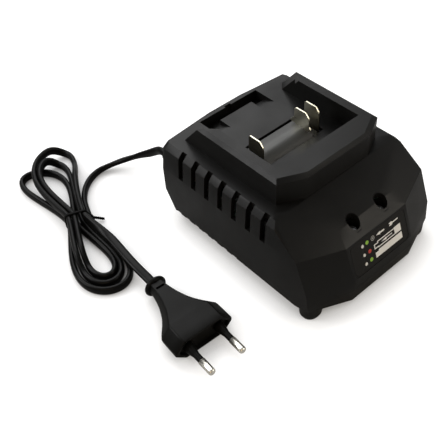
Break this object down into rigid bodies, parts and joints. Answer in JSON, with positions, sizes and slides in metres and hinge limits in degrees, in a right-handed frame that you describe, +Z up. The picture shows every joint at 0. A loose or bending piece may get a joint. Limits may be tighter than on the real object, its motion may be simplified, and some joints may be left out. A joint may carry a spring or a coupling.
{
  "type": "power tool battery charger",
  "caption": "Slide-on battery charger with a sloping front, side vents, contact blades, status lights, and a flat lead tied in a hank that ends in a two-pin plug.",
  "frame": {"origin": "bottom centre of the housing, on the surface that its feet stand on; the free lead, its hank and its plug aren't counted", "axes": "+Y towards the end where the lead leaves, -Y towards the sloping front with the status lights, +Z up, +X to the right seen from the front"},
  "size_m": [0.1693, 0.2125, 0.068],
  "materials": {
    "housing": "fine-grained moulded plastic",
    "terminal_plastic": "smooth moulded plastic",
    "contact": "nickel-plated copper alloy",
    "label": "printed film",
    "light_pipe": "clear-white moulded plastic",
    "led": "light package",
    "board": "soldermask on glass fibre board",
    "ferrite": "sintered ferrite",
    "winding": "tape over copper windings",
    "can_sleeve": "shrink sleeve",
    "choke": "enamelled copper on a ring core",
    "film_capacitor": "moulded box",
    "component": "moulded package",
    "fuse_glass": "fuse body",
    "heat_sink": "extruded, plain",
    "wire_red": "insulated wire",
    "wire_brown": "insulated wire",
    "lead_jacket": "soft flat jacket",
    "tie": "plastic-covered wire",
    "plug_plastic": "moulded plug",
    "pin_metal": "nickel-plated brass",
    "sleeve_plastic": "insulating sleeve",
    "screw_steel": "blackened steel",
    "screw_zinc": "zinc-plated steel"
  },
  "bodies": {
    "root": {"top_shell": "housing", "bottom_shell": "housing", "terminal_block": "terminal_plastic", "left_blade": "contact", "middle_blade": "contact", "right_blade": "contact", "status_label": "label", "light_pipes": "light_pipe", "status_lights": "led", "light_board": "board", "main_board": "board", "transformer_core": "ferrite", "transformer_winding": "winding", "mains_capacitor": "can_sleeve", "output_capacitors": "can_sleeve", "filter_choke": "choke", "filter_capacitor": "film_capacitor", "rectifier": "component", "fuse": "fuse_glass", "primary_heat_sink": "heat_sink", "secondary_heat_sink": "heat_sink", "power_transistors": "component", "control_chips": "component", "battery_leads": "wire_red", "mains_leads": "wire_brown", "lead_clamp": "housing", "clamp_screws": "screw_zinc", "strain_relief": "lead_jacket", "lead_to_charger": "lead_jacket", "lead_hank": "lead_jacket", "lead_to_plug": "lead_jacket", "hank_tie": "tie", "plug_body": "plug_plastic", "plug_pins": "pin_metal", "pin_sleeves": "sleeve_plastic", "front_screws": "screw_steel", "rear_screws": "screw_steel", "board_screws": "screw_zinc"}
  },
  "joints": []
}
